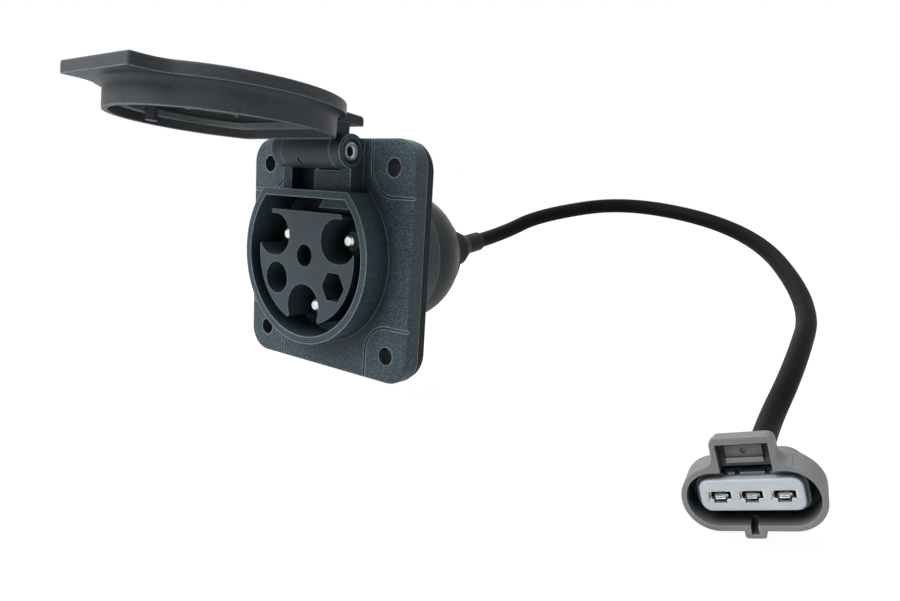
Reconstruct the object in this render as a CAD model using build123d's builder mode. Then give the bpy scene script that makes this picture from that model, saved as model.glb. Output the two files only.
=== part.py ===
from build123d import *
import os
from math import cos, pi, radians, sin, sqrt, tan

# Millimetres. X to the right and Z up as seen from the front, Y into the panel, origin at the centre
# of the flange on the panel face. Distances "out" are measured forward from the panel, along -Y.

# Flange and gasket
flange_side = 91.0
flange_corner = 10.0
flange_thick = 6.6
flange_edge = 1.2
gasket_thick = 3.3
gasket_corner = 12.0
gasket_gap = 0.3
bolt_pitch = 70.0
bolt_hole_r = 3.4
pad_inset = 10.8
pad_corner = 11.0
groove_width = 0.8
groove_depth = 0.6

# Socket barrel
barrel_r = 34.5
barrel_wall = 2.9
barrel_top = 25.2
barrel_corner = 2.0
barrel_out = 11.7
floor_out = 5.0
key_left = 4.6
key_right = 20.7
key_slant = 3.8
key_height = 3.5
key_back = 3.7

# Rear tube and cap, whose common axis lies a little below the socket's
tube_down = 1.6
tube_wall = 2.5
tube_length = 27.7
fit_gap = 0.15
spigot_length = 6.0
spigot_wall = 2.6
seal_groove_width = 2.0
seal_groove_depth = 1.2
seal_ahead = 3.0
cap_wall = 2.4
cap_shoulder = 28.0
cap_straight = 4.5
cap_lip_at = 25.3
cap_lip_step = 0.5
cap_lip_width = 1.5
neck_r = 9.5
neck_start = 12.5
neck_length = 4.0

# Contact carrier
carrier_gap = 4.6
carrier_top_gap = 5.3
carrier_recess = 1.2
carrier_corner = 0.8
neck_skin = 0.8
carrier_neck_back = 8.0
bay_floor_out = 6.0
side_bay = (17.4, 6.9)
side_bay_r = 8.4
side_bay_slide = 2.0
side_mouth = (20.0, 2.8)
bottom_bay_down = 20.2
bottom_bay_r = 9.0
bottom_mouth = 8.3
blind_depth = 13.4
centre_hole_r = 4.35
round_hole = (-16.2, -10.4)
round_hole_r = 6.4
hex_hole = (16.4, -10.4)
hex_hole_r = 6.15
sleeve_r = 3.6
sleeve_length = 5.4
ring_wall = 1.65
ring_thick = 5.0
ring_notch = 4.0

# Power pins and their wires
pin_r = 2.5
pin_recess = 6.0
pin_chamfer = 0.8
cup_r = 3.1
cup_length = 10.0
cup_depth = 7.0
wire_r = 1.7
wire_lead = 7.0
wire_spread = 2.1

# Hinge
hinge_out = 16.2
hinge_drop = 5.5
hinge_pin_r = 3.2
hinge_pin_dish_r = 2.4
hinge_pin_dish = 1.3
hinge_left = 18.2
hinge_right = 19.7
ear_r = 6.4
ear_left = 12.9
ear_right = 14.4
ear_recess_r = 4.9
ear_recess = 0.8
pedestal_out = 6.7
knuckle_r = 6.5
knuckle_end_gap = 0.3
knuckle_gap = 0.4
running_gap = 0.05
pocket_right = 0.3
pocket_drop = 4.5
pocket_depth = 5.6

# Hinge spring
spring_wire_r = 0.55
spring_coil_r = 4.25
spring_pitch = 1.45
spring_turns = 6
spring_start = -12.1
spring_bay_r = 5.4
spring_bay_right = -2.5
spring_leg = 10.0
spring_slot = 1.8
spring_slot_from = -153.0
spring_slot_to = 2.0

# Lid, measured from the hinge axis: "reach" towards the free end and "lift" away from the socket
lid_open_angle = 93.0
lid_under = 10.6
lid_thick = 4.0
lid_rim = 2.9
lid_edge = 0.8
skirt_gap = 0.6
skirt_wall = 1.6
skirt_flat_gap = 0.5
skirt_flat_wall = 1.3
skirt_corner = 4.0
skirt_blend = 2.3
skirt_depth = 8.2
tab_width = 40.0
tab_out = 4.0
tab_corner = 1.0
tab_blend = 9.5
tail_width = 30.0
tail_back = 9.5
tail_thick = 3.5
tail_round = 1.6
arm_front = 5.6
arm_rear = 3.4
lid_rib = 1.4
lid_rib_depth = 2.0
lid_ring_r = 8.8
lid_rib_count = 8
post_angle = 201.0
post_r = 1.95
post_lift = 2.8
lid_seal_over = 0.1
lid_seal_under = 0.7
lid_seal_corner = 10.0
lid_seal_thick = 2.1
lid_seal_gap = 0.1
seal_rib_inset = 1.2
seal_rib_wall = 1.6

# Lead: the tube follows straight runs joined by arcs, from the sleeve's end to the connector
cable_r = 3.85
cable_points = [
    (0.9, 95.1, 3.8),
    (1.8, 117.4, 7.7),
    (10.5, 141.9, 19.0),
    (45.6, 184.7, 29.8),
    (115.6, 179.7, 18.2),
    (156.5, 119.7, -9.3),
    (160.0, 73.5, -27.5),
    (158.6, 38.7, -44.8),
    (161.9, 18.7, -46.6),
]
arc_share = 0.45

# Strain relief, measured back from the lead's start
relief_r = 4.8
relief_straight = 10.5
relief_flare_r = 8.6
relief_flare = 8.0
relief_length = 26.0
relief_stem_r = 6.4
relief_stem = 19.0
relief_flange_r = 9.4
relief_flange = 3.6
crimp_wall = 1.5
crimp_length = 4.0
entry_tail = 3.0

# Connector, measured forward from the lead's end
connector_right = (0.947, 0.133, 0.291)
boot_r = 5.9
boot_length = 5.6
boot_ridges = 3
body_width = 27.0
body_height = 12.4
connector_length = 26.5
shroud_width = 36.4
shroud_height = 18.2
shroud_depth = 9.6
shroud_wall = 1.5
socket_depth = 9.2
mid_step = 1.8
mid_depth = 5.0
frame_width = 16.2
frame_wall = 1.5
frame_top_wall = 1.9
frame_top = 17.4
frame_lip = 2.4
frame_step = 0.9
frame_depth = 6.5
frame_back = 1.6
frame_corner = 2.0
frame_flare = 3.2
window_low = 7.4
key_across = -0.75
key_bump_width = 5.4
key_bump = 2.1
key_slot_width = 1.9
key_slot_depth = 6.0
key_end_wall = 1.2
latch_width = 9.4
latch_thick = 1.4
latch_up = 9.6
latch_recess = 2.0
latch_pad = 3.2
latch_pad_recess = 3.0
latch_dimple_r = 0.9
latch_dimple = 0.5
holder_width = 26.2
holder_height = 9.0
holder_corner = 2.6
holder_up = 0.9
holder_thick = 2.6
holder_recess = 0.5
tower_lip = 1.0
terminal_pitch = 8.0
terminal_width = 6.4
terminal_height = 3.5
terminal_length = 12.0
terminal_sheet = 0.5
terminal_gap = 0.15
terminal_recess = 1.2
slot_width = 3.3
slot_height = 0.9
notch_places = (-5.9, -2.7, 4.9)
notch_width = 1.3
notch_depth = 0.8
notch_back = 3.0
ring_seal_thick = 2.2
ring_seal_wall = 0.8

flange_front = gasket_thick + flange_thick
rim_out = flange_front + barrel_out
carrier_face = rim_out - carrier_recess
pin_tip = carrier_face - pin_recess
bore_r = barrel_r - barrel_wall
bore_top = barrel_top - barrel_wall
carrier_r = bore_r - carrier_gap
carrier_top = bore_top - carrier_top_gap
carrier_neck_r = bottom_bay_down + pin_r + neck_skin
ring_r = carrier_neck_r + ring_wall
tube_bore_r = ring_r + fit_gap + tube_down
tube_r = tube_bore_r + tube_wall
spigot_r = tube_bore_r - fit_gap
pad_edge = bolt_pitch / 2 - pad_inset
hinge_up = flange_side / 2 - hinge_drop
skirt_inner_r = barrel_r + skirt_gap
skirt_r = skirt_inner_r + skirt_wall
skirt_inner_flat = barrel_top + skirt_flat_gap
lid_r = skirt_r + lid_rim
tab_reach = hinge_up + lid_r + tab_out
seal_rib_r = barrel_r - seal_rib_inset
seal_rib_flat = barrel_top - seal_rib_inset
pin_places = {
    "left": (-side_bay[0], side_bay[1]),
    "right": side_bay,
    "bottom": (0.0, -bottom_bay_down),
}
front = Plane.XZ
tube_centre = (0, -tube_down)
centre_down = (0, -hinge_up)
open_angle = radians(lid_open_angle)
hinge_point = (0, -hinge_out, hinge_up)
lid_lift = (0, -cos(open_angle), sin(open_angle))
lid_face = Plane(origin=hinge_point, x_dir=(1, 0, 0), z_dir=lid_lift)
lid_side = Plane(origin=hinge_point, x_dir=lid_lift, z_dir=(1, 0, 0))
hinge_axis = Plane(origin=hinge_point, x_dir=(0, 1, 0), z_dir=(1, 0, 0))
cable_start = Vector(cable_points[0])
cable_end = Vector(cable_points[-1])
start_direction = (Vector(cable_points[1]) - cable_start).normalized()
end_direction = (cable_end - Vector(cable_points[-2])).normalized()
relief_plane = Plane(origin=cable_start, x_dir=(1, 0, 0), z_dir=start_direction * -1)
connector_plane = Plane(origin=cable_end, x_dir=connector_right, z_dir=end_direction)


def flat_topped_disc(radius, flat, corner=0.0):
    """Draw a disc whose top is cut flat, with its two corners rounded, in the open sketch."""
    Circle(radius)
    with Locations((0, flat)):
        Rectangle(2 * radius, 2 * radius, align=(Align.CENTER, Align.MAX), mode=Mode.INTERSECT)
    if corner > 0:
        fillet(vertices(), corner)


def save(part, name):
    """Label a finished part and write it to its own file."""
    part.label = name
    export_step(part, f"parts/{name}.step")


os.makedirs("parts", exist_ok=True)

# Flange housing: plate, socket barrel, hinge pedestal and rear tube in one moulding
with BuildPart() as flange_housing:
    with BuildSketch(front.offset(gasket_thick)):
        RectangleRounded(flange_side, flange_side, flange_corner)
    extrude(amount=flange_thick)
    fillet(flange_housing.faces().sort_by(Axis.Y)[0].edges(), flange_edge)

    # Each corner pad is set off by a groove that turns round its bolt hole
    with BuildSketch(front.offset(flange_front)):
        for turn in (0, 90, 180, 270):
            with BuildLine(Plane.XY.rotated((0, 0, turn))):
                Line((pad_edge, flange_side / 2), (pad_edge, pad_edge + pad_corner))
                CenterArc((pad_edge + pad_corner, pad_edge + pad_corner), pad_corner, 180, 90)
                Line((pad_edge + pad_corner, pad_edge), (flange_side / 2, pad_edge))
            trace(line_width=groove_width)
    extrude(amount=-groove_depth, mode=Mode.SUBTRACT)

    # Barrel outside
    with BuildSketch(front.offset(gasket_thick)):
        flat_topped_disc(barrel_r, barrel_top, barrel_corner)
    extrude(amount=rim_out - gasket_thick)

    # Hinge pedestal with two ears, hollowed for the lid's knuckle
    with BuildSketch(hinge_axis.offset(-hinge_left)):
        Circle(ear_r)
        with Locations((hinge_out - flange_front, 0)):
            Rectangle(hinge_out - flange_front, ear_r - flange_edge, align=(Align.MAX, Align.MIN))
    extrude(amount=hinge_left + hinge_right)
    with BuildSketch(front.offset(flange_front - 1)):
        with Locations((-hinge_left, barrel_top - 1)):
            Rectangle(
                hinge_left + hinge_right, hinge_up - barrel_top + 1, align=(Align.MIN, Align.MIN)
            )
    extrude(amount=pedestal_out + 1)
    with BuildSketch(hinge_axis.offset(-ear_left)):
        Circle(knuckle_r + knuckle_gap)
        with Locations((hinge_out - flange_front, 0)):
            Rectangle(4 * ear_r, 2 * ear_r, align=(Align.MAX, Align.MIN))
    extrude(amount=ear_left + ear_right, mode=Mode.SUBTRACT)
    with BuildSketch(hinge_axis.offset(-hinge_left)):
        Circle(hinge_pin_r)
    extrude(amount=hinge_left + hinge_right, mode=Mode.SUBTRACT)
    with BuildSketch(hinge_axis.offset(hinge_right)):
        Circle(ear_recess_r)
    extrude(amount=-ear_recess, mode=Mode.SUBTRACT)

    # Pocket for the spring's leg
    pocket_height = hinge_up - pocket_drop - barrel_top
    with BuildSketch(front.offset(flange_front + pedestal_out + 1)):
        with Locations((-ear_left, barrel_top)):
            Rectangle(ear_left + pocket_right, pocket_height, align=(Align.MIN, Align.MIN))
    extrude(amount=-pocket_depth - 1, mode=Mode.SUBTRACT)

    # Socket bore, with the key block left standing under its flat
    with BuildSketch(front.offset(rim_out)):
        flat_topped_disc(bore_r, bore_top)
    extrude(amount=floor_out - rim_out, mode=Mode.SUBTRACT)
    with BuildSketch(front.offset(floor_out - 1)):
        with BuildLine():
            Polyline(
                (key_left, bore_top - key_height),
                (key_right, bore_top - key_height),
                (key_right, bore_top + 1),
                (key_left + key_slant, bore_top + 1),
                close=True,
            )
        make_face()
    extrude(amount=rim_out - key_back - floor_out + 1)

    # Rear tube, and the hole in the socket's floor that the carrier's neck passes
    with BuildSketch(front.offset(gasket_thick)):
        with Locations(tube_centre):
            Circle(tube_r)
    extrude(amount=-gasket_thick - tube_length)
    with BuildSketch(front):
        with Locations(tube_centre):
            Circle(tube_bore_r)
    extrude(amount=-tube_length, mode=Mode.SUBTRACT)
    with BuildSketch(front.offset(floor_out)):
        Circle(carrier_neck_r + fit_gap)
    extrude(amount=-floor_out, mode=Mode.SUBTRACT)

    with BuildSketch(front.offset(flange_front)):
        with GridLocations(bolt_pitch, bolt_pitch, 2, 2):
            Circle(bolt_hole_r)
    extrude(amount=-flange_thick, mode=Mode.SUBTRACT)
save(flange_housing.part, "flange_housing")

with BuildPart() as flange_gasket:
    with BuildSketch(front):
        RectangleRounded(flange_side, flange_side, gasket_corner)
        with Locations(tube_centre):
            Circle(tube_r + gasket_gap, mode=Mode.SUBTRACT)
        with GridLocations(bolt_pitch, bolt_pitch, 2, 2):
            Circle(bolt_hole_r, mode=Mode.SUBTRACT)
    extrude(amount=gasket_thick)
save(flange_gasket.part, "flange_gasket")

# Contact carrier: three open pin bays, three blind coding holes and a threaded neck
with BuildPart() as contact_carrier:
    with BuildSketch(front.offset(floor_out)) as carrier_outline:
        flat_topped_disc(carrier_r, carrier_top)
        for side in (-1, 1):
            with Locations((side * side_bay[0], side_bay[1])):
                Circle(side_bay_r, mode=Mode.SUBTRACT)
            with Locations((side * side_mouth[0], side_mouth[1])):
                Rectangle(
                    carrier_r,
                    carrier_r,
                    align=(Align.MIN if side > 0 else Align.MAX, Align.MIN),
                    mode=Mode.SUBTRACT,
                )
        with Locations((0, -bottom_bay_down)):
            Circle(bottom_bay_r, mode=Mode.SUBTRACT)
            Rectangle(
                2 * bottom_mouth, carrier_r, align=(Align.CENTER, Align.MAX), mode=Mode.SUBTRACT
            )
        fillet(carrier_outline.vertices(), carrier_corner)
        for side in (-1, 1):
            with Locations((side * (side_bay[0] + side_bay_slide), side_bay[1])):
                Circle(side_bay_r, mode=Mode.SUBTRACT)
    extrude(amount=carrier_face - floor_out)
    with BuildSketch(front.offset(floor_out)):
        flat_topped_disc(carrier_r, carrier_top)
    extrude(amount=bay_floor_out - floor_out)
    with BuildSketch(front.offset(floor_out)):
        Circle(carrier_neck_r)
    extrude(amount=-floor_out - carrier_neck_back)
    with BuildSketch(front.offset(bay_floor_out)):
        with Locations(*pin_places.values()):
            Circle(sleeve_r)
    extrude(amount=sleeve_length)
    with BuildSketch(front.offset(carrier_face)):
        Circle(centre_hole_r)
        with Locations(round_hole):
            Circle(round_hole_r)
        with Locations(hex_hole):
            RegularPolygon(hex_hole_r, 6)
    extrude(amount=-blind_depth, mode=Mode.SUBTRACT)
    with BuildSketch(front.offset(rim_out)):
        with Locations(*pin_places.values()):
            Circle(pin_r)
    extrude(amount=-rim_out - carrier_neck_back, mode=Mode.SUBTRACT)
save(contact_carrier.part, "contact_carrier")

with BuildPart() as carrier_ring:
    with BuildSketch(front):
        Circle(ring_r)
        Circle(carrier_neck_r, mode=Mode.SUBTRACT)
        with Locations((ring_r, 0), (-ring_r, 0)):
            Rectangle(ring_wall, ring_notch, mode=Mode.SUBTRACT)
    extrude(amount=-ring_thick)
save(carrier_ring.part, "carrier_ring")

# Power pins, turned with a chamfered tip and a crimp cup, and the insulated cores behind them
jacket_end = relief_length + relief_stem + relief_flange + crimp_length + entry_tail
core_plane = relief_plane.offset(jacket_end)
cup_start = carrier_neck_back
cup_bottom = cup_start + cup_length - cup_depth
for side, (across, up) in pin_places.items():
    with BuildPart() as power_pin:
        with BuildSketch(front.offset(pin_tip)):
            with Locations((across, up)):
                Circle(pin_r)
        extrude(amount=-pin_tip - cup_start)
        chamfer(power_pin.faces().sort_by(Axis.Y)[0].edges(), pin_chamfer)
        with BuildSketch(front.offset(-cup_start)):
            with Locations((across, up)):
                Circle(cup_r)
        extrude(amount=-cup_length)
        with BuildSketch(front.offset(-cup_start - cup_length)):
            with Locations((across, up)):
                Circle(wire_r)
        extrude(amount=cup_depth, mode=Mode.SUBTRACT)
    save(power_pin.part, f"power_pin_{side}")

    core_turn = radians({"left": 150, "right": 30, "bottom": -90}[side])
    core_spot = (wire_spread * cos(core_turn), wire_spread * sin(core_turn), 0)
    core_end = core_plane.from_local_coords(core_spot)
    with BuildPart() as wire:
        with BuildLine() as core_path:
            lead_out = Line((across, cup_bottom, up), (across, cup_bottom + wire_lead, up))
            Spline(lead_out @ 1, core_end, tangents=(lead_out % 1, start_direction))
        with BuildSketch(Plane(origin=lead_out @ 0, z_dir=lead_out % 0)):
            Circle(wire_r)
        sweep()
    save(wire.part, f"wire_{side}")

# Hinge pin with dished ends, which reach the ears' outer faces
with BuildPart() as hinge_pin:
    with BuildSketch(hinge_axis.offset(-hinge_left)):
        Circle(hinge_pin_r)
    extrude(amount=hinge_left + hinge_right)
    for end in (hinge_axis.offset(hinge_right), hinge_axis.offset(-hinge_left).rotated((180, 0, 0))):
        with BuildSketch(end):
            Circle(hinge_pin_dish_r)
        extrude(amount=-hinge_pin_dish, mode=Mode.SUBTRACT)
save(hinge_pin.part, "hinge_pin")

# Torsion spring round the pin, its leg hanging into the pocket behind the pedestal's face
with BuildPart() as hinge_spring:
    with BuildLine() as spring_path:
        coil = hinge_axis.offset(spring_start) * Helix(
            spring_pitch, spring_pitch * spring_turns, spring_coil_r, lefthand=True, mode=Mode.PRIVATE
        )
        add(coil)
        Line(coil @ 1, (coil @ 1) + (coil % 1) * spring_leg)
    with BuildSketch(Plane(origin=coil @ 0, z_dir=coil % 0)):
        Circle(spring_wire_r)
    sweep(path=spring_path.line, transition=Transition.RIGHT)
save(hinge_spring.part, "hinge_spring")

# Lid, drawn in its own frame at the hinge so that it can stand at any opening angle
with BuildPart() as lid:
    with BuildSketch(lid_face.offset(lid_under)) as lid_outline:
        with Locations(centre_down):
            Circle(lid_r)
        with Locations((0, -tab_reach)):
            RectangleRounded(
                tab_width, tab_reach - hinge_up, tab_corner, align=(Align.CENTER, Align.MIN)
            )
        fillet(lid_outline.vertices().group_by(Axis.Y)[2], tab_blend)
    extrude(amount=lid_thick)
    fillet(lid.faces().sort_by(Axis(hinge_point, lid_lift))[-1].edges(), lid_edge)
    with BuildSketch(lid_face.offset(lid_under - skirt_depth)):
        with Locations(centre_down):
            flat_topped_disc(skirt_r, skirt_inner_flat + skirt_flat_wall, skirt_corner)
    extrude(amount=skirt_depth)
    skirt_foot = lid.edges(Select.LAST).group_by(Axis(hinge_point, lid_lift))[-1]
    fillet(skirt_foot, skirt_blend)
    with BuildSketch(lid_face.offset(lid_under - skirt_depth)):
        with Locations(centre_down):
            flat_topped_disc(skirt_inner_r, skirt_inner_flat, barrel_corner)
    extrude(amount=skirt_depth, mode=Mode.SUBTRACT)

    # Ribs under the lid: a seal ring, a small octagon and spokes between them
    seal_rib_depth = lid_under - (rim_out - hinge_out) - lid_seal_gap - lid_seal_thick
    with BuildSketch(lid_face.offset(lid_under - seal_rib_depth)):
        with Locations(centre_down):
            flat_topped_disc(seal_rib_r, seal_rib_flat, barrel_corner)
    extrude(amount=seal_rib_depth)
    with BuildSketch(lid_face.offset(lid_under - seal_rib_depth)):
        with Locations(centre_down):
            flat_topped_disc(seal_rib_r - seal_rib_wall, seal_rib_flat - seal_rib_wall, lid_seal_corner)
    extrude(amount=seal_rib_depth, mode=Mode.SUBTRACT)
    spoke = seal_rib_flat - lid_ring_r
    with BuildSketch(lid_face.offset(lid_under - lid_rib_depth)):
        with Locations(centre_down):
            RegularPolygon(lid_ring_r, lid_rib_count)
            RegularPolygon(lid_ring_r - lid_rib, lid_rib_count, mode=Mode.SUBTRACT)
            with PolarLocations(lid_ring_r - lid_rib / 2, lid_rib_count):
                Rectangle(spoke, lid_rib, align=(Align.MIN, Align.CENTER))
    extrude(amount=lid_rib_depth)

    # Locating post that drops between the carrier and the barrel
    with BuildSketch(lid_face.offset(post_lift)):
        with Locations(centre_down):
            with PolarLocations((carrier_r + bore_r) / 2, 1, start_angle=post_angle):
                Circle(post_r)
    extrude(amount=lid_under - post_lift)

    # Arm, knuckle and tail
    with BuildSketch(lid_side.offset(knuckle_end_gap - ear_left)):
        Circle(knuckle_r)
        with Locations((0, -arm_rear)):
            Rectangle(lid_under + 1, arm_front + arm_rear, align=(Align.MIN, Align.MIN))
    extrude(amount=ear_left + ear_right - 2 * knuckle_end_gap)
    with BuildSketch(lid_side) as tail_profile:
        with BuildLine():
            Polyline(
                (lid_under, lid_r - hinge_up + 6),
                (lid_under, -tail_back),
                (lid_under + tail_thick, -tail_back),
                (lid_under + lid_thick - 0.2, 0),
                (lid_under + lid_thick - 0.2, lid_r - hinge_up + 6),
                close=True,
            )
        make_face()
        fillet(tail_profile.vertices().sort_by(Axis.Y)[:2].sort_by(Axis.X)[-1], tail_round)
    extrude(amount=tail_width / 2, both=True)
    with BuildSketch(hinge_axis):
        Circle(hinge_pin_r + running_gap)
    extrude(amount=ear_right, both=True, mode=Mode.SUBTRACT)
    with BuildSketch(hinge_axis.offset(-ear_left)):
        Circle(spring_bay_r)
    extrude(amount=ear_left + spring_bay_right, mode=Mode.SUBTRACT)

    # Slot that lets the spring's leg stay still while the knuckle turns
    with BuildSketch(hinge_axis.offset(spring_bay_right - spring_slot)):
        with BuildLine():
            leg_arc = CenterArc((0, 0), 2 * knuckle_r, spring_slot_from, spring_slot_to - spring_slot_from)
            Line(leg_arc @ 1, (0, 0))
            Line((0, 0), leg_arc @ 0)
        make_face()
    extrude(amount=spring_slot, mode=Mode.SUBTRACT)
save(lid.part, "lid")

with BuildPart() as lid_seal:
    with BuildSketch(lid_face.offset(lid_under - seal_rib_depth - lid_seal_thick)):
        with Locations(centre_down):
            flat_topped_disc(barrel_r + lid_seal_over, barrel_top + lid_seal_over, barrel_corner)
    extrude(amount=lid_seal_thick)
    with BuildSketch(lid_face.offset(lid_under - seal_rib_depth - lid_seal_thick)):
        with Locations(centre_down):
            flat_topped_disc(bore_r - lid_seal_under, bore_top - lid_seal_under, lid_seal_corner)
    extrude(amount=lid_seal_thick, mode=Mode.SUBTRACT)
save(lid_seal.part, "lid_seal")

# Rear cap: a domed shell turned about the tube's axis, with a spigot that enters the tube, a
# raised ring behind the dome and a neck for the strain relief
tube_half = Plane.XY.offset(-tube_down)
tube_axis = Axis((0, 0, -tube_down), (0, 1, 0))
shoulder_at = tube_length + cap_straight
shoulder_r = tube_r - cap_shoulder
inner_shoulder = cap_shoulder - cap_wall
lip_at = tube_length + cap_lip_at
lip_end = lip_at + cap_lip_width
lip_r = shoulder_r + sqrt(cap_shoulder**2 - (lip_at - shoulder_at) ** 2)
neck_at = lip_at + neck_start
cap_inside = lip_at - cap_wall
inside_r = shoulder_r + sqrt(inner_shoulder**2 - (cap_inside - shoulder_at) ** 2)
spigot_start = tube_length - spigot_length
spigot_bore_r = spigot_r - spigot_wall
dome_start = shoulder_at + sqrt(inner_shoulder**2 - (spigot_bore_r - shoulder_r) ** 2)
with BuildPart() as rear_cap:
    with BuildSketch(tube_half):
        with BuildLine():
            Polyline((spigot_r, spigot_start), (spigot_r, tube_length), (tube_r, tube_length))
            Line((tube_r, tube_length), (tube_r, shoulder_at))
            RadiusArc((tube_r, shoulder_at), (lip_r, lip_at), -cap_shoulder)
            Line((lip_r, lip_at), (lip_r + cap_lip_step, lip_at))
            Line((lip_r + cap_lip_step, lip_at), (lip_r + cap_lip_step, lip_end))
            Line((lip_r + cap_lip_step, lip_end), (lip_r, lip_end))
            ThreePointArc(
                (lip_r, lip_end),
                (neck_r + (lip_r - neck_r) * 0.35, lip_end + (neck_at - lip_end) * 0.3),
                (neck_r, neck_at),
            )
            Polyline((neck_r, neck_at), (neck_r, neck_at + neck_length), (0, neck_at + neck_length))
            Polyline((0, neck_at + neck_length), (0, cap_inside), (inside_r, cap_inside))
            RadiusArc((inside_r, cap_inside), (spigot_bore_r, dome_start), inner_shoulder)
            Polyline((spigot_bore_r, dome_start), (spigot_bore_r, spigot_start), (spigot_r, spigot_start))
        make_face()
        with Locations((spigot_r, tube_length - seal_ahead)):
            Rectangle(2 * seal_groove_depth, seal_groove_width, mode=Mode.SUBTRACT)
    revolve(axis=tube_axis)
    with BuildSketch(relief_plane):
        Circle(relief_stem_r)
    extrude(amount=jacket_end, mode=Mode.SUBTRACT)
    with BuildSketch(relief_plane):
        Circle(relief_flange_r + fit_gap)
    extrude(amount=relief_length, mode=Mode.SUBTRACT)
    with BuildSketch(relief_plane.offset(relief_length + relief_stem)):
        Circle(relief_flange_r + fit_gap)
    extrude(amount=relief_flange + crimp_length, mode=Mode.SUBTRACT)
save(rear_cap.part, "rear_cap")

seal_section_r = (fit_gap + seal_groove_depth) / 2 - 0.02
with BuildPart() as cap_seal:
    with BuildSketch(tube_half):
        with Locations(((tube_bore_r + spigot_r - seal_groove_depth) / 2, tube_length - seal_ahead)):
            Circle(seal_section_r)
    revolve(axis=tube_axis)
save(cap_seal.part, "cap_seal")

# Strain relief: a rubber sleeve turned about the lead, with a stem and flange inside the cap
relief_end = relief_length + relief_stem + relief_flange
relief_half = Plane(origin=relief_plane.origin, x_dir=relief_plane.x_dir, z_dir=-relief_plane.y_dir)
with BuildPart() as strain_relief:
    with BuildSketch(relief_half):
        with BuildLine():
            Polyline(
                (cable_r, 0),
                (relief_r, 0),
                (relief_r, relief_straight),
                (relief_flare_r, relief_straight + relief_flare),
                (relief_flare_r, relief_length),
                (relief_stem_r, relief_length),
                (relief_stem_r, relief_length + relief_stem),
                (relief_flange_r, relief_length + relief_stem),
                (relief_flange_r, relief_end),
                (cable_r, relief_end),
                close=True,
            )
        make_face()
    revolve(axis=Axis(relief_plane.origin, relief_plane.z_dir))
save(strain_relief.part, "strain_relief")

with BuildPart() as cable_entry:
    with BuildSketch(relief_plane):
        Circle(cable_r)
    extrude(amount=jacket_end)
save(cable_entry.part, "cable_entry")

with BuildPart() as crimp_ring:
    with BuildSketch(relief_plane.offset(relief_end)):
        Circle(cable_r + crimp_wall)
        Circle(cable_r, mode=Mode.SUBTRACT)
    extrude(amount=crimp_length)
save(crimp_ring.part, "crimp_ring")

# Lead: each bend's radius is a share of its shorter run over the tangent of half its turn
bend_radii = []
for before, corner, after in zip(cable_points, cable_points[1:], cable_points[2:]):
    run_in = Vector(corner) - Vector(before)
    run_out = Vector(after) - Vector(corner)
    half_turn = radians(run_in.get_angle(run_out)) / 2
    bend_radii.append(arc_share * min(run_in.length, run_out.length) / tan(half_turn))
with BuildPart() as cable:
    with BuildLine() as cable_path:
        FilletPolyline(*cable_points, radius=bend_radii)
    with BuildSketch(Plane(origin=cable_start, z_dir=start_direction)):
        Circle(cable_r)
    sweep()
save(cable.part, "cable")
lead_length = sum(run.length for run in cable_path.edges())
print("bend radii", [round(r, 1) for r in bend_radii])
print("lead length", round(lead_length, 1))
print("volume over section times length", round(cable.part.volume / (pi * cable_r**2 * lead_length), 4))

# Connector boot with moulded ridges
with BuildPart() as connector_boot:
    with BuildSketch(connector_plane):
        Circle(boot_r)
    extrude(amount=boot_length)
    ridge = boot_length / (2 * boot_ridges + 1)
    for place in range(boot_ridges):
        with BuildSketch(connector_plane.offset(ridge * (2 * place + 1))):
            Circle(boot_r)
            Circle(boot_r - ridge, mode=Mode.SUBTRACT)
        extrude(amount=ridge, mode=Mode.SUBTRACT)
save(connector_boot.part, "connector_boot")

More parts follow.
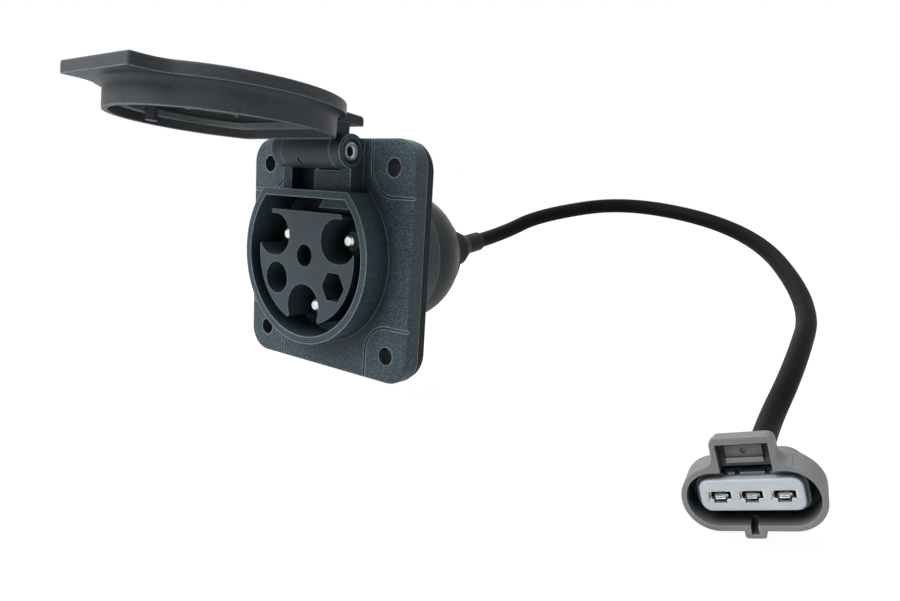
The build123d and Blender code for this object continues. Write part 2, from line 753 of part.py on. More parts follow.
# Connector shell: keyed shroud with a latch frame on top, a tower inside and the body behind
shroud_back = connector_length - shroud_depth
tower_width = holder_width + 2 * tower_lip
tower_height = holder_height + 2 * tower_lip
tower_front = connector_length - holder_recess - holder_thick
socket_floor = connector_length - socket_depth
pitches = [(step * terminal_pitch, holder_up) for step in (-1, 0, 1)]
with BuildPart() as connector_shell:
    with BuildSketch(connector_plane.offset(boot_length)):
        RectangleRounded(body_width, body_height, body_height / 2 - 0.1)
    extrude(amount=shroud_back - mid_depth - boot_length)
    with BuildSketch(connector_plane.offset(shroud_back - mid_depth)):
        mid_height = shroud_height - 2 * mid_step
        RectangleRounded(shroud_width - 2 * mid_step, mid_height, mid_height / 2 - 0.1)
    extrude(amount=mid_depth)
    with BuildSketch(connector_plane.offset(shroud_back)):
        RectangleRounded(shroud_width, shroud_height, shroud_height / 2 - 0.1)
    extrude(amount=shroud_depth)
    with BuildSketch(connector_plane.offset(connector_length - key_slot_depth - key_end_wall)):
        with Locations((key_across, -shroud_height / 2 - key_bump)):
            RectangleRounded(
                key_bump_width, key_bump + shroud_height / 4, 0.8, align=(Align.CENTER, Align.MIN)
            )
    extrude(amount=key_slot_depth + key_end_wall)
    for top, depth in ((frame_top, frame_lip), (frame_top - frame_step, frame_depth)):
        with BuildSketch(connector_plane.offset(connector_length - depth)):
            with Locations((0, top)):
                RectangleRounded(
                    frame_width, top - holder_up, frame_corner, align=(Align.CENTER, Align.MAX)
                )
        extrude(amount=depth)
    with BuildSketch(connector_plane.offset(connector_length - frame_depth)):
        for side in (-1, 1):
            with Locations((side * (frame_width / 2 + frame_flare), shroud_height / 2 + frame_flare)):
                Circle(frame_flare)
        with Locations((0, shroud_height / 2 - 1)):
            Rectangle(
                frame_width + 2 * frame_flare,
                frame_flare + 1,
                align=(Align.CENTER, Align.MIN),
                mode=Mode.ADD,
            )
        for side in (-1, 1):
            with Locations((side * (frame_width / 2 + frame_flare), shroud_height / 2 + frame_flare)):
                Circle(frame_flare, mode=Mode.SUBTRACT)
                Rectangle(
                    frame_flare,
                    2 * frame_flare,
                    align=(Align.MIN if side > 0 else Align.MAX, Align.CENTER),
                    mode=Mode.SUBTRACT,
                )
    extrude(amount=frame_depth)

    # Hollows: the socket round the tower, the window and the key slot
    with BuildSketch(connector_plane.offset(connector_length)):
        inner_height = shroud_height - 2 * shroud_wall
        RectangleRounded(shroud_width - 2 * shroud_wall, inner_height, inner_height / 2 - 0.1)
    extrude(amount=-socket_depth, mode=Mode.SUBTRACT)
    with BuildSketch(connector_plane.offset(connector_length)):
        with Locations((0, window_low)):
            Rectangle(
                frame_width - 2 * frame_wall,
                frame_top - frame_top_wall - window_low,
                align=(Align.CENTER, Align.MIN),
            )
    extrude(amount=frame_back - frame_depth, mode=Mode.SUBTRACT)
    with BuildSketch(connector_plane.offset(connector_length)):
        with Locations((key_across, -shroud_height / 2 - key_bump / 2)):
            Rectangle(key_slot_width, shroud_height / 4, align=(Align.CENTER, Align.MIN))
    extrude(amount=-key_slot_depth, mode=Mode.SUBTRACT)

    # Tower with a pocket for each terminal and the small notches above the holder
    with BuildSketch(connector_plane.offset(socket_floor - 1)):
        with Locations((0, holder_up)):
            RectangleRounded(tower_width, tower_height, holder_corner + tower_lip)
    extrude(amount=tower_front - socket_floor + 1)
    with BuildSketch(connector_plane.offset(tower_front)):
        for across in notch_places:
            with Locations((across, holder_up + tower_height / 2)):
                Rectangle(notch_width, 2 * notch_depth)
    extrude(amount=-notch_back, mode=Mode.SUBTRACT)
    with BuildSketch(connector_plane.offset(tower_front)):
        with Locations(*pitches):
            Rectangle(terminal_width + 2 * terminal_gap, terminal_height + 2 * terminal_gap)
    extrude(amount=-terminal_length, mode=Mode.SUBTRACT)

    # Latch in the window: a tongue with a stepped pad above it and a dimple in the pad's face
    latch_start = connector_length - frame_depth + frame_back
    with BuildSketch(connector_plane.offset(latch_start - 1)):
        with Locations((0, latch_up)):
            Rectangle(latch_width, latch_thick, align=(Align.CENTER, Align.MIN))
    extrude(amount=connector_length - latch_recess - latch_start + 1)
    with BuildSketch(connector_plane.offset(latch_start - 1)):
        with Locations((0, latch_up + latch_thick)):
            Rectangle(latch_width, latch_pad, align=(Align.CENTER, Align.MIN))
    extrude(amount=connector_length - latch_pad_recess - latch_start + 1)
    with BuildSketch(connector_plane.offset(connector_length - latch_pad_recess)):
        with Locations((0, latch_up + latch_thick + latch_pad / 2)):
            Circle(latch_dimple_r)
    extrude(amount=-latch_dimple, mode=Mode.SUBTRACT)
save(connector_shell.part, "connector_shell")

# Front holder, pierced for the blades and for the release tool below each
with BuildPart() as connector_holder:
    with BuildSketch(connector_plane.offset(tower_front)):
        with Locations((0, holder_up)):
            RectangleRounded(holder_width, holder_height, holder_corner)
        with Locations(*pitches):
            Rectangle(terminal_width, terminal_height - 2 * terminal_sheet, mode=Mode.SUBTRACT)
            with Locations((0, terminal_sheet - terminal_height / 2)):
                Rectangle(
                    slot_width, slot_height, align=(Align.CENTER, Align.MAX), mode=Mode.SUBTRACT
                )
    extrude(amount=holder_thick)
    outer = connector_holder.faces().sort_by(Axis(cable_end, end_direction))[-1]
    fillet(outer.outer_wire().edges(), 0.6)
save(connector_holder.part, "connector_holder")

# Blade receptacles: a folded box with a curled spring tongue inside
for name, (across, up) in zip(("left", "centre", "right"), pitches):
    with BuildPart() as terminal:
        with BuildSketch(connector_plane.offset(tower_front)):
            with Locations((across, up)):
                Rectangle(terminal_width, terminal_height)
                Rectangle(
                    terminal_width - 2 * terminal_sheet,
                    terminal_height - 2 * terminal_sheet,
                    mode=Mode.SUBTRACT,
                )
                with Locations((0, -terminal_height / 2 + terminal_sheet)):
                    Rectangle(
                        terminal_width * 0.55, terminal_sheet, align=(Align.CENTER, Align.MIN)
                    )
        extrude(amount=-terminal_length)
    save(terminal.part, f"terminal_{name}")

with BuildPart() as connector_seal:
    with BuildSketch(connector_plane.offset(socket_floor)):
        with Locations((0, holder_up)):
            RectangleRounded(
                tower_width + 2 * ring_seal_wall,
                tower_height + 2 * ring_seal_wall,
                holder_corner + tower_lip + ring_seal_wall,
            )
            RectangleRounded(tower_width, tower_height, holder_corner + tower_lip, mode=Mode.SUBTRACT)
    extrude(amount=ring_seal_thick)
save(connector_seal.part, "connector_seal")
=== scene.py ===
import bpy
import numpy as np
from mathutils import Matrix, Vector


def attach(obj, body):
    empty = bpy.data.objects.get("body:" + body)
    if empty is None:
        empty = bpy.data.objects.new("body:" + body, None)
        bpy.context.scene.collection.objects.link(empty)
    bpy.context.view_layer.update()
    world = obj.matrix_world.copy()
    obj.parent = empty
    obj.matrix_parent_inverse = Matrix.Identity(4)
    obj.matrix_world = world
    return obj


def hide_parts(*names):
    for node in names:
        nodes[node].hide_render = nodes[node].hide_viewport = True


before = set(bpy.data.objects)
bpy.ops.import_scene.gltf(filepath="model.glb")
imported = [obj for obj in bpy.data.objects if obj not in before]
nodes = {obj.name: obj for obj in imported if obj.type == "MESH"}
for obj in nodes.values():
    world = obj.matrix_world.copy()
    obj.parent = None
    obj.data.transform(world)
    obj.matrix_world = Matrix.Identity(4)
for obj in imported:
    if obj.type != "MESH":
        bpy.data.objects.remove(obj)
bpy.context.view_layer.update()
print("frame loaded:", len(nodes), "nodes")

# Camera, placed where the photograph was taken from
camera = {
    "place": (0.19927, -0.19195, 0.02573),
    "right": (0.7976, 0.6000, 0.0617),
    "up": (-0.1398, 0.0846, 0.9866),
    "back": (0.5868, -0.7956, 0.1513),
    "lens": 26.594,
    "sensor": 36.0,
    "shift": (-0.0033, -0.0013),
    "clip": (0.01, 20.0),
}


def makeCamera():
    data = bpy.data.cameras.new("photoCamera")
    data.lens = camera["lens"]
    data.sensor_width = camera["sensor"]
    data.shift_x, data.shift_y = camera["shift"]
    data.clip_start, data.clip_end = camera["clip"]
    eye = bpy.data.objects.new("photoCamera", data)
    bpy.context.collection.objects.link(eye)
    turn = Matrix((camera["right"], camera["up"], camera["back"])).transposed()
    eye.matrix_world = Matrix.Translation(camera["place"]) @ turn.to_4x4()
    bpy.context.scene.camera = eye


makeCamera()
bpy.context.scene.view_settings.view_transform = "Standard"
print("camera ready")

samples = {"bevel": 6, "occlusion": 8}


# One material's node tree, with short calls for the nodes that the finishes share
class Shader:
    def __init__(self, name):
        self.material = bpy.data.materials.new(name)
        self.material.use_nodes = True
        self.tree = self.material.node_tree
        self.tree.nodes.clear()
        self.output = self.add("ShaderNodeOutputMaterial")
        self.surface = self.add("ShaderNodeBsdfPrincipled")
        self.link(self.surface.outputs[0], self.output.inputs[0])
        self.place = self.add("ShaderNodeTexCoord").outputs["Object"]

    def add(self, kind, **settings):
        node = self.tree.nodes.new(kind)
        for key, value in settings.items():
            setattr(node, key, value)
        return node

    def link(self, source, target):
        self.tree.links.new(source, target)

    def feed(self, target, value):  # a socket takes a link, a number or a colour
        if isinstance(value, bpy.types.NodeSocket):
            self.link(value, target)
        elif hasattr(value, "__len__") and len(value) == 3 and len(target.default_value) == 4:
            target.default_value = (*value, 1.0)
        else:
            target.default_value = value

    def noise(self, scale, detail=4.0, roughness=0.55, place=None):
        node = self.add("ShaderNodeTexNoise")
        self.link(place or self.place, node.inputs["Vector"])
        node.inputs["Scale"].default_value = scale
        node.inputs["Detail"].default_value = detail
        node.inputs["Roughness"].default_value = roughness
        return node.outputs["Fac"]

    def cells(self, scale):
        node = self.add("ShaderNodeTexVoronoi", feature="F1")
        self.link(self.place, node.inputs["Vector"])
        node.inputs["Scale"].default_value = scale
        return node.outputs["Distance"]

    def spread(self, value, low, high, outLow=0.0, outHigh=1.0):
        node = self.add("ShaderNodeMapRange")
        self.feed(node.inputs["Value"], value)
        node.inputs["From Min"].default_value = low
        node.inputs["From Max"].default_value = high
        node.inputs["To Min"].default_value = outLow
        node.inputs["To Max"].default_value = outHigh
        return node.outputs["Result"]

    def sums(self, kind, a, b):
        node = self.add("ShaderNodeMath", operation=kind)
        self.feed(node.inputs[0], a)
        self.feed(node.inputs[1], b)
        return node.outputs[0]

    def vectors(self, kind, a, b=None):
        node = self.add("ShaderNodeVectorMath", operation=kind)
        self.link(a, node.inputs[0])
        if b is not None:
            self.feed(node.inputs[1], b)
        return node

    def mixColour(self, factor, a, b):
        node = self.add("ShaderNodeMix", data_type="RGBA")
        self.feed(node.inputs[0], factor)
        self.feed(node.inputs[6], a)
        self.feed(node.inputs[7], b)
        return node.outputs[2]

    def stretch(self, scale):
        node = self.add("ShaderNodeMapping")
        self.link(self.place, node.inputs["Vector"])
        node.inputs["Scale"].default_value = scale
        return node.outputs["Vector"]

    def softNormal(self, radius):  # rounds hard edges by averaging the normal within radius
        node = self.add("ShaderNodeBevel", samples=samples["bevel"])
        node.inputs["Radius"].default_value = radius
        return node.outputs["Normal"]

    def edges(self, radius, gain):  # gain x (1 - dot(rounded normal, true normal)), up to 1
        true = self.add("ShaderNodeNewGeometry").outputs["Normal"]
        dot = self.vectors("DOT_PRODUCT", self.softNormal(radius), true)
        away = self.sums("SUBTRACT", 1.0, dot.outputs["Value"])
        node = self.add("ShaderNodeMath", operation="MULTIPLY", use_clamp=True)
        self.link(away, node.inputs[0])
        node.inputs[1].default_value = gain
        return node.outputs[0]

    def occlusionShade(self, reach):  # 1 in the open, falling towards 0 deep in narrow hollows; it masks painted shade
        node = self.add("ShaderNodeAmbientOcclusion", samples=samples["occlusion"])
        node.inputs["Distance"].default_value = reach
        return node.outputs["AO"]

    def bump(self, height, depth, normal):
        node = self.add("ShaderNodeBump")
        self.link(height, node.inputs["Height"])
        self.link(normal, node.inputs["Normal"])
        node.inputs["Distance"].default_value = depth
        node.inputs["Strength"].default_value = 1.0
        return node.outputs["Normal"]

    def finish(self, colour, roughness, normal=None, **fixed):
        self.feed(self.surface.inputs["Base Color"], colour)
        self.feed(self.surface.inputs["Roughness"], roughness)
        if normal is not None:
            self.link(normal, self.surface.inputs["Normal"])
        for key, value in fixed.items():
            self.surface.inputs[key].default_value = value
        return self.material


# Moulded plastic with spark-eroded grain: bump, painted glints as pale flecks on the peaks, a
# painted highlight along the edges, and painted shade deep in hollows where a look asks for it
moulded = {
    "grain": {"detail": 2.0, "roughness": 0.7},
    "cloud": {"detail": 5.0, "roughness": 0.6},
    "pitScale": 0.8,
    "pitShare": 0.25,
    "tone": (0.35, 0.7),
    "gloss": (0.3, 0.75),
    "edgeReach": 1.6,
    "edgeGain": 6.0,
    "highlightFrom": (0.45, 0.75),
    "highlightTo": (0.5, 1.0),
    "open": (0.25, 0.8),
}


def mouldedPlastic(name, look):
    shade = Shader(name)
    grain = shade.noise(look["grain"], **moulded["grain"])
    pits = shade.cells(look["grain"] * moulded["pitScale"])
    cloud = shade.noise(look["cloud"], **moulded["cloud"])
    body = shade.mixColour(shade.spread(cloud, *moulded["tone"]), look["dark"], look["light"])
    peaks = shade.sums("ADD", grain, shade.sums("MULTIPLY", pits, moulded["pitShare"]))
    # painted glints: pale flecks on the grain's peaks, where light would catch them
    paintedGlint = shade.spread(peaks, *look["peaks"], 0.0, look["glintShare"])
    body = shade.mixColour(paintedGlint, body, look["glintColour"])
    # painted highlight: a paler colour along the edges, uneven with the grain
    edge = shade.edges(look["edge"] * moulded["edgeReach"], moulded["edgeGain"])
    uneven = shade.spread(peaks, *moulded["highlightFrom"], *moulded["highlightTo"])
    paintedEdgeHighlight = shade.sums("MULTIPLY", shade.sums("MULTIPLY", edge, uneven), look["edgeHighlightShare"])
    body = shade.mixColour(paintedEdgeHighlight, body, look["edgeHighlight"])
    if look.get("shadeReach"):  # painted shade: a darker tone deep in hollows, where shade falls
        unshaded = shade.spread(shade.occlusionShade(look["shadeReach"]), *moulded["open"])
        body = shade.mixColour(unshaded, look["paintedShade"], body)
    rough = shade.spread(cloud, *moulded["gloss"], *look["rough"])
    normal = shade.bump(peaks, look["depth"], shade.softNormal(look["edge"]))
    return shade.finish(body, rough, normal, **look["fixed"])


# Metal with fine lathe lines: noise squeezed along the piece's own axis, as bump and roughness
turned = {
    "lines": {"detail": 3.0, "roughness": 0.7},
    "cloud": {"detail": 4.0},
    "tone": (0.35, 0.7),
    "gloss": (0.3, 0.7),
    "dishFade": 0.9,
}


def turnedMetal(name, look):
    shade = Shader(name)
    lines = shade.noise(1.0, place=shade.stretch(look["lines"]), **turned["lines"])
    cloud = shade.noise(look["cloud"], **turned["cloud"])
    body = shade.mixColour(shade.spread(cloud, *turned["tone"]), look["dark"], look["light"])
    rough = shade.spread(lines, *turned["gloss"], *look["rough"])
    if look.get("dish"):  # painted shade near the axis, where only the floors of the dished ends lie, standing in for the shaded bore of a hollow pin
        away = shade.vectors("SUBTRACT", shade.place, look["axisPlace"]).outputs[0]
        flat = shade.vectors("MULTIPLY", away, look["acrossAxis"]).outputs[0]
        reach = shade.vectors("LENGTH", flat).outputs["Value"]
        outsideDish = shade.spread(reach, turned["dishFade"] * look["dish"], look["dish"])
        body = shade.mixColour(outsideDish, look["dishShade"], body)
    normal = shade.bump(lines, look["depth"], shade.softNormal(look["edge"]))
    return shade.finish(body, rough, normal, Metallic=1.0)


# Rubber with a fine skin and a soft uneven bloom
rubber = {
    "skin": {"detail": 4.0, "roughness": 0.6},
    "cloud": {"detail": 5.0, "roughness": 0.6},
    "tone": (0.4, 0.75),
    "gloss": (0.3, 0.7),
}


def rubberSkin(name, look):
    shade = Shader(name)
    skin = shade.noise(look["grain"], **rubber["skin"])
    cloud = shade.noise(look["cloud"], **rubber["cloud"])
    body = shade.mixColour(shade.spread(cloud, *rubber["tone"]), look["dark"], look["light"])
    rough = shade.spread(cloud, *rubber["gloss"], *look["rough"])
    normal = shade.bump(skin, look["depth"], shade.softNormal(look["edge"]))
    return shade.finish(body, rough, normal, **look["fixed"])


def dress(material, *names):  # CAD nodes whose shape is right only change their finish
    for name in names:
        slots = nodes[name].data.materials
        slots.clear()
        slots.append(material)


# Socket: flange, barrel and rear tube share one grainy moulding
# In the looks below, the pale fleck colour is painted glints, the edge colour a painted highlight,
# and the colour for hollows painted shade
housing = {
    "dark": (0.007, 0.018, 0.024), "light": (0.012, 0.026, 0.034),
    "glintColour": (0.15, 0.215, 0.25), "edgeHighlight": (0.43, 0.54, 0.60),
    "grain": 4300.0, "cloud": 45.0, "peaks": (0.60, 0.80), "glintShare": 0.8,
    "edge": 0.0005, "edgeHighlightShare": 0.9, "rough": (0.42, 0.54), "depth": 0.00014,
    "shadeReach": 0.012, "paintedShade": (0.004, 0.007, 0.009),
    "fixed": {"Specular IOR Level": 0.22},
}
carrier = {
    "dark": (0.031, 0.047, 0.058), "light": (0.043, 0.063, 0.076),
    "glintColour": (0.11, 0.13, 0.15), "edgeHighlight": (0.30, 0.36, 0.39),
    "grain": 1800.0, "cloud": 70.0, "peaks": (0.6, 0.85), "glintShare": 0.15,
    "edge": 0.0003, "edgeHighlightShare": 0.9, "rough": (0.42, 0.55), "depth": 0.00003,
    "shadeReach": 0.010, "paintedShade": (0.006, 0.010, 0.012),
    "fixed": {"Specular IOR Level": 0.28},
}
lidFinish = {
    "dark": (0.034, 0.039, 0.045), "light": (0.054, 0.060, 0.067),
    "glintColour": (0.12, 0.135, 0.15), "edgeHighlight": (0.36, 0.40, 0.43),
    "grain": 1900.0, "cloud": 40.0, "peaks": (0.6, 0.85), "glintShare": 0.2,
    "edge": 0.0004, "edgeHighlightShare": 0.8, "rough": (0.44, 0.58), "depth": 0.00005,
    "fixed": {"Specular IOR Level": 0.2},
}
capFinish = {
    "dark": (0.006, 0.009, 0.009), "light": (0.012, 0.016, 0.015),
    "glintColour": (0.05, 0.06, 0.06), "edgeHighlight": (0.13, 0.15, 0.15),
    "grain": 1500.0, "cloud": 45.0, "peaks": (0.6, 0.85), "glintShare": 0.12,
    "edge": 0.0004, "edgeHighlightShare": 0.3, "rough": (0.40, 0.52), "depth": 0.00004,
    "fixed": {"Specular IOR Level": 0.2},
}
gasketRubber = {
    "dark": (0.008, 0.011, 0.012), "light": (0.015, 0.019, 0.020),
    "grain": 1400.0, "cloud": 60.0,
    "edge": 0.0003, "rough": (0.55, 0.75), "depth": 0.00004,
    "fixed": {"Specular IOR Level": 0.18},
}
sealRubber = {
    "dark": (0.10, 0.115, 0.11), "light": (0.19, 0.21, 0.20),
    "grain": 1200.0, "cloud": 50.0,
    "edge": 0.0003, "rough": (0.5, 0.7), "depth": 0.00004,
    "fixed": {"Specular IOR Level": 0.25},
}
dress(mouldedPlastic("housingPlastic", housing), "flange_housing", "carrier_ring")
dress(mouldedPlastic("carrierPlastic", carrier), "contact_carrier")
dress(mouldedPlastic("lidPlastic", lidFinish), "lid")
dress(mouldedPlastic("capPlastic", capFinish), "rear_cap")
rubberBlack = rubberSkin("gasketRubber", gasketRubber)
dress(rubberBlack, "flange_gasket", "cap_seal", "strain_relief", "connector_boot", "connector_seal")
dress(rubberSkin("sealRubber", sealRubber), "lid_seal")
print("socket and lid finished")

# Metal: contact pins along Y, hinge pin along X, spring wire, tinned terminals
pinMetal = {
    "dark": (0.72, 0.73, 0.72), "light": (0.92, 0.92, 0.90),
    "lines": (900.0, 9000.0, 900.0), "cloud": 300.0,
    "edge": 0.0002, "rough": (0.22, 0.4), "depth": 0.00001,
}
hingeSteel = {
    "dark": (0.60, 0.60, 0.59), "light": (0.82, 0.82, 0.80),
    "lines": (9000.0, 900.0, 900.0), "cloud": 300.0,
    "edge": 0.0002, "rough": (0.28, 0.46), "depth": 0.00001,
}
hingePinSteel = {
    **hingeSteel,
    # the dish colour is painted shade on the floors of the pin's dished ends
    "dish": 0.00205, "dishShade": (0.02, 0.025, 0.028),
    "axisPlace": (0.0, -0.0162, 0.04), "acrossAxis": (0.0, 1.0, 1.0),
}
tinPlate = {
    "dark": (0.62, 0.62, 0.60), "light": (0.88, 0.88, 0.86),
    "lines": (1200.0, 6000.0, 1200.0), "cloud": 400.0,
    "edge": 0.0001, "rough": (0.16, 0.32), "depth": 0.00001,
}
dress(turnedMetal("pinMetal", pinMetal), "power_pin_left", "power_pin_right", "power_pin_bottom")
dress(turnedMetal("hingePinSteel", hingePinSteel), "hinge_pin")
dress(turnedMetal("hingeSteel", hingeSteel), "hinge_spring", "crimp_ring")
dress(turnedMetal("tinPlate", tinPlate), "terminal_left", "terminal_centre", "terminal_right")
print("metal finished")

# Cores inside the cap, each with a darker tone of its own tint
cores = {
    "tints": {
        "left": (0.16, 0.06, 0.025),
        "right": (0.03, 0.08, 0.30),
        "bottom": (0.04, 0.20, 0.05),
    },
    "darker": 0.8,
    "rough": (0.35, 0.5),
}
for side, tint in cores["tints"].items():
    darkTint = tuple(cores["darker"] * c for c in tint)
    core = {**gasketRubber, "dark": darkTint, "light": tint, "rough": cores["rough"]}
    dress(rubberSkin("coreSkin" + side.capitalize(), core), "wire_" + side)

# Connector
# In the connector's looks, the pale fleck colour is painted glints, the edge colour a painted
# highlight, and the colour for hollows painted shade
shellPlastic = {
    "dark": (0.15, 0.153, 0.155), "light": (0.20, 0.204, 0.206),
    "glintColour": (0.27, 0.275, 0.28), "edgeHighlight": (0.5, 0.51, 0.52),
    "grain": 1500.0, "cloud": 60.0, "peaks": (0.6, 0.85), "glintShare": 0.2,
    "edge": 0.0004, "edgeHighlightShare": 0.3, "rough": (0.42, 0.58), "depth": 0.00004,
    "shadeReach": 0.007, "paintedShade": (0.038, 0.041, 0.046),
    "fixed": {"Specular IOR Level": 0.25},
}
holderPlastic = {
    "dark": (0.40, 0.445, 0.485), "light": (0.46, 0.505, 0.54),
    "glintColour": (0.55, 0.59, 0.62), "edgeHighlight": (0.75, 0.78, 0.82),
    "grain": 1500.0, "cloud": 80.0, "peaks": (0.6, 0.85), "glintShare": 0.1,
    "edge": 0.0003, "edgeHighlightShare": 0.3, "rough": (0.4, 0.52), "depth": 0.00002,
    "shadeReach": 0.0025, "paintedShade": (0.05, 0.055, 0.06),
    "fixed": {"Specular IOR Level": 0.3},
}
dress(mouldedPlastic("shellPlastic", shellPlastic), "connector_shell")
dress(mouldedPlastic("holderPlastic", holderPlastic), "connector_holder")
print("connector finished")

# Tinned mouth of each receptacle: two rolled lips and a sprung tongue inside the holder's opening
mouth = {
    "leadEnd": (0.1619, 0.0187, -0.0466),
    "forward": (0.1623, -0.9828, -0.0885),
    "right": (0.947, 0.133, 0.291),
    "up": 0.0009,
    "pitch": 0.0080,
    "front": 0.0257,
    "depth": 0.0021,
    "halfWidth": 0.0031,
    "halfHeight": 0.0012,
    "lip": 0.0013,
    "corner": 0.0004,
    "cornerPoints": 6,
    "sheet": 0.00028,
    "tongueBehind": 0.0002,
    "tongueHalfWidth": 0.0013,
    "tongueLength": 0.0055,
    "tonguePoints": 24,
    "crest": 0.0011,
    "crestAt": 0.0016,
    "crestSpread": 0.0011,
}
mouthMetal = {
    **tinPlate,
    "dark": (0.80, 0.79, 0.75), "light": (0.95, 0.94, 0.90), "rough": (0.22, 0.38),
}


# A flat strip carried along a path: path point +- half sheet x normal +- half width x across
def strip(path, across, width, sheet):
    step = np.gradient(path, axis=0)
    normal = np.cross(across, step)
    normal /= np.linalg.norm(normal, axis=1, keepdims=True)
    sides = np.array([(-1, -1), (1, -1), (1, 1), (-1, 1)]) * (sheet / 2, width / 2)
    points = path[:, None] + sides[None, :, :1] * normal[:, None] + sides[None, :, 1:] * across
    rows, around = np.meshgrid(np.arange(len(path) - 1), np.arange(4), indexing="ij")
    near, beside = 4 * rows + around, 4 * rows + (around + 1) % 4
    walls = np.stack((near, near + 4, beside + 4, beside), -1).reshape(-1, 4)
    last = 4 * (len(path) - 1)
    ends = np.array([(0, 1, 2, 3), (last + 3, last + 2, last + 1, last)])
    return points.reshape(-1, 3), np.vstack((walls, ends))


# Lip: outwards along the opening's lower side, round a quarter circle and up, round another and back
def lipPath():
    wide, high, rounding = mouth["halfWidth"], mouth["halfHeight"], mouth["corner"]
    turn = np.linspace(0, np.pi / 2, mouth["cornerPoints"])
    bend = np.column_stack((np.cos(turn), np.sin(turn))) * rounding
    upper = bend + (wide - rounding, high - rounding)
    inner = wide - mouth["lip"]
    return np.vstack(([(inner, -high)], upper[::-1] * (1, -1), upper, [(inner, high)]))


# Tongue: run along its length, and height = crest x exp(-((run - crest's place) / spread)^2)
# above the opening's lower side
def tonguePath():
    run = np.linspace(0, mouth["tongueLength"], mouth["tonguePoints"])
    bell = np.exp(-(((run - mouth["crestAt"]) / mouth["crestSpread"]) ** 2))
    return run, mouth["crest"] * bell - mouth["halfHeight"]


def makeMouths():
    forward = np.array(mouth["forward"]) / np.linalg.norm(mouth["forward"])
    right = np.array(mouth["right"])
    right = right - forward * (right @ forward)
    right /= np.linalg.norm(right)
    up = np.cross(forward, right)
    lip = lipPath()
    run, rise = tonguePath()
    points, faces, count = [], [], 0
    for place in (-1, 0, 1):
        centre = np.array(mouth["leadEnd"]) + right * place * mouth["pitch"] + up * mouth["up"]
        middle = centre + forward * (mouth["front"] - mouth["depth"] / 2)
        front = centre + forward * (mouth["front"] - mouth["tongueBehind"])
        pieces = []
        for side in (-1, 1):
            path = middle + side * lip[:, :1] * right + lip[:, 1:] * up
            pieces.append(strip(path, forward * side, mouth["depth"], mouth["sheet"]))
        path = front - run[:, None] * forward + rise[:, None] * up
        pieces.append(strip(path, right, 2 * mouth["tongueHalfWidth"], mouth["sheet"]))
        for more, corners in pieces:
            points.append(more)
            faces.append(corners + count)
            count += len(more)
    mesh = bpy.data.meshes.new("terminalMouths")
    mesh.from_pydata(np.vstack(points).tolist(), [], np.vstack(faces).tolist())
    piece = bpy.data.objects.new("terminalMouths", mesh)
    bpy.context.collection.objects.link(piece)
    return piece


mouthPiece = makeMouths()
mouthPiece.data.materials.append(turnedMetal("mouthMetal", mouthMetal))
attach(mouthPiece, "socket")
print("terminal mouths formed")

# Lead: one smooth spline over the route's points
lead = {
    "route": [
        (0.0009, 0.0951, 0.0038),
        (0.0018, 0.1174, 0.0077),
        (0.0105, 0.1419, 0.0190),
        (0.0456, 0.1847, 0.0298),
        (0.1156, 0.1797, 0.0182),
        (0.1565, 0.1197, -0.0093),
        (0.1600, 0.0735, -0.0275),
        (0.1586, 0.0387, -0.0448),
        (0.1619, 0.0187, -0.0466),
    ],
    "diameter": 0.0077,
    "length": 0.352,
    "order": 3,
    "stepsAlong": 24,
    "stepsRound": 7,
}
jacket = {
    "dark": (0.003, 0.0035, 0.0035), "light": (0.006, 0.007, 0.007),
    "grain": 900.0, "cloud": 35.0,
    "edge": 0.0003, "rough": (0.48, 0.6), "depth": 0.00003,
    "fixed": {"Specular IOR Level": 0.05},
}


def makeLead():
    data = bpy.data.curves.new("lead", "CURVE")
    data.dimensions = "3D"
    route = np.array(lead["route"])
    line = data.splines.new("NURBS")
    line.points.add(len(route) - 1)
    line.points.foreach_set("co", np.column_stack((route, np.ones(len(route)))).ravel())
    line.order_u = lead["order"]
    line.use_endpoint_u = True
    line.resolution_u = lead["stepsAlong"]
    data.bevel_depth = lead["diameter"] / 2
    data.bevel_resolution = lead["stepsRound"]
    data.use_fill_caps = True
    piece = bpy.data.objects.new("lead", data)
    bpy.context.collection.objects.link(piece)
    return piece


jacketSkin = rubberSkin("jacketSkin", jacket)
leadPiece = makeLead()
leadPiece.data.materials.append(jacketSkin)
dress(jacketSkin, "cable_entry")
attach(leadPiece, "socket")
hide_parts("cable")
print("lead laid")

# Studio: pale floor, white surround, soft lamps
studio = {
    "floorHeight": -0.0625,
    "floorSize": 6.0,
    "floorColour": (0.86, 0.86, 0.87),
    "floorDarker": 0.97,
    "floorNoise": {"scale": 3.0, "detail": 3.0},
    "floorRoughness": 0.6,
    "glow": 1.12,
    "glowReach": (0.3, 0.8),
    "glowShare": (0.85, 1.0),
    "white": (1.0, 1.0, 1.0, 1.0),
    "worldColour": (0.93, 0.97, 1.0, 1.0),
    "world": 0.17,
    "lamps": [  # name, place, aimed at, side length, watts
        ("keyLamp", (-0.30, -0.98, 0.80), (0.03, 0.0, 0.0), 0.9, 17.0),
        ("topLamp", (-0.25, -0.20, 1.1), (0.05, 0.05, 0.0), 0.8, 6.0),
        ("backLamp", (-0.7, 0.9, 0.6), (0.05, 0.05, 0.0), 1.0, 4.0),
    ],
}


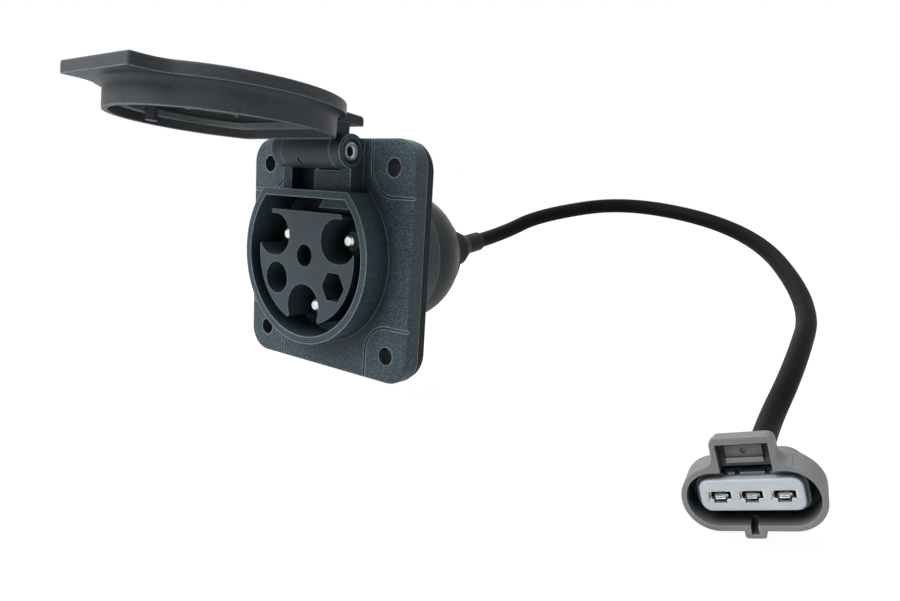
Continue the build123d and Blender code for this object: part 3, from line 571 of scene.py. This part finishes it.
def makeFloor():
    size, height = studio["floorSize"], studio["floorHeight"]
    around = ((-size, -size), (size, -size), (size, size), (-size, size))
    mesh = bpy.data.meshes.new("floor")
    mesh.from_pydata([(x, y, height) for x, y in around], [], [(0, 1, 2, 3)])
    floor = bpy.data.objects.new("floor", mesh)
    bpy.context.collection.objects.link(floor)
    shade = Shader("floorPaint")
    darker = tuple(studio["floorDarker"] * c for c in studio["floorColour"])
    paint = shade.mixColour(shade.noise(**studio["floorNoise"]), darker, studio["floorColour"])
    shade.finish(paint, studio["floorRoughness"])
    glow = shade.add("ShaderNodeEmission")
    glow.inputs["Color"].default_value = studio["white"]
    glow.inputs["Strength"].default_value = studio["glow"]
    seen = shade.add("ShaderNodeLightPath")
    direct = shade.sums("MAXIMUM", seen.outputs["Is Camera Ray"], seen.outputs["Is Glossy Ray"])
    direct = shade.sums("MAXIMUM", direct, seen.outputs["Is Transmission Ray"])
    # Glow alone beyond the object's shadow
    reach = shade.vectors("LENGTH", shade.stretch((1.0, 1.0, 0.0))).outputs["Value"]
    far = shade.spread(reach, *studio["glowReach"], *studio["glowShare"])
    blend = shade.add("ShaderNodeMixShader")
    shade.link(shade.sums("MULTIPLY", direct, far), blend.inputs[0])
    shade.link(shade.surface.outputs[0], blend.inputs[1])
    shade.link(glow.outputs[0], blend.inputs[2])
    shade.link(blend.outputs[0], shade.output.inputs[0])
    mesh.materials.append(shade.material)
    return floor


def makeWorld():
    world = bpy.data.worlds.new("studioWorld")
    bpy.context.scene.world = world
    world.use_nodes = True
    add, link = world.node_tree.nodes.new, world.node_tree.links.new
    world.node_tree.nodes.clear()
    output = add("ShaderNodeOutputWorld")
    soft, white = add("ShaderNodeBackground"), add("ShaderNodeBackground")
    soft.inputs[0].default_value = studio["worldColour"]
    soft.inputs[1].default_value = studio["world"]
    white.inputs[0].default_value = studio["white"]
    white.inputs[1].default_value = 1.0
    path, blend = add("ShaderNodeLightPath"), add("ShaderNodeMixShader")
    shown = path.outputs["Is Camera Ray"]
    for ray in ("Is Glossy Ray", "Is Transmission Ray"):
        either = add("ShaderNodeMath")
        either.operation = "MAXIMUM"
        link(shown, either.inputs[0])
        link(path.outputs[ray], either.inputs[1])
        shown = either.outputs[0]
    link(shown, blend.inputs[0])
    link(soft.outputs[0], blend.inputs[1])
    link(white.outputs[0], blend.inputs[2])
    link(blend.outputs[0], output.inputs[0])


def makeLamps():
    for name, place, aim, side, power in studio["lamps"]:
        data = bpy.data.lights.new(name, "AREA")
        data.size, data.energy = side, power
        lamp = bpy.data.objects.new(name, data)
        bpy.context.collection.objects.link(lamp)
        lamp.location = place
        lamp.rotation_euler = (Vector(place) - Vector(aim)).to_track_quat("Z", "Y").to_euler()


floor = makeFloor()
makeWorld()
makeLamps()
print("studio lit")
